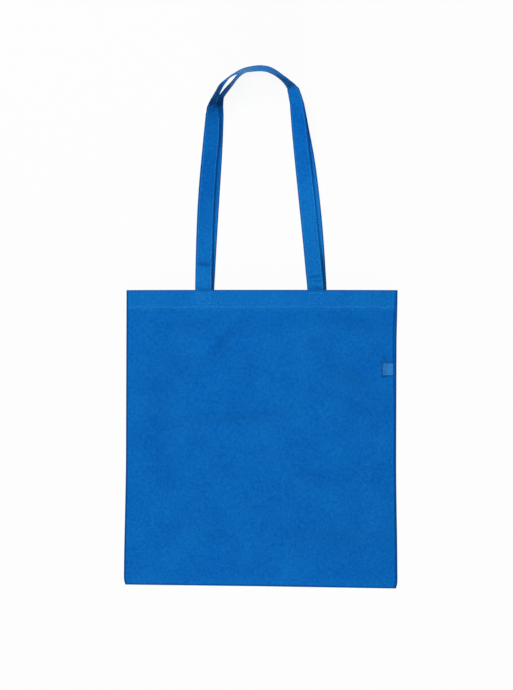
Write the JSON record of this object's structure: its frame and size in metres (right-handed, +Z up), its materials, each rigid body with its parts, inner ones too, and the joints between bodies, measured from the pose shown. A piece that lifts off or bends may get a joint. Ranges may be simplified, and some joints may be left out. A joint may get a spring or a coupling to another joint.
{
  "type": "non-woven shopping bag",
  "caption": "Flat-sewn non-woven carrier bag lying on its back, with a hemmed mouth, long twisted strap handles and a small folded tape label in the side seam.",
  "frame": {"origin": "on the floor under the middle of the bag's box, as it lies on its back with the handles stretched out", "axes": "+Y from the bottom fold towards the handles, +X to the right across the front panel, +Z up out of the front panel"},
  "size_m": [0.3874, 0.736, 0.0497],
  "materials": {
    "blue_nonwoven": "matt spunbond polypropylene sheet with a fine bonded mottle",
    "blue_tape": "woven satin tape, lighter than the sheet"
  },
  "bodies": {
    "root": {"bag_body": "blue_nonwoven", "front_handle": "blue_nonwoven", "back_handle": "blue_nonwoven", "side_label": "blue_tape"}
  },
  "joints": []
}
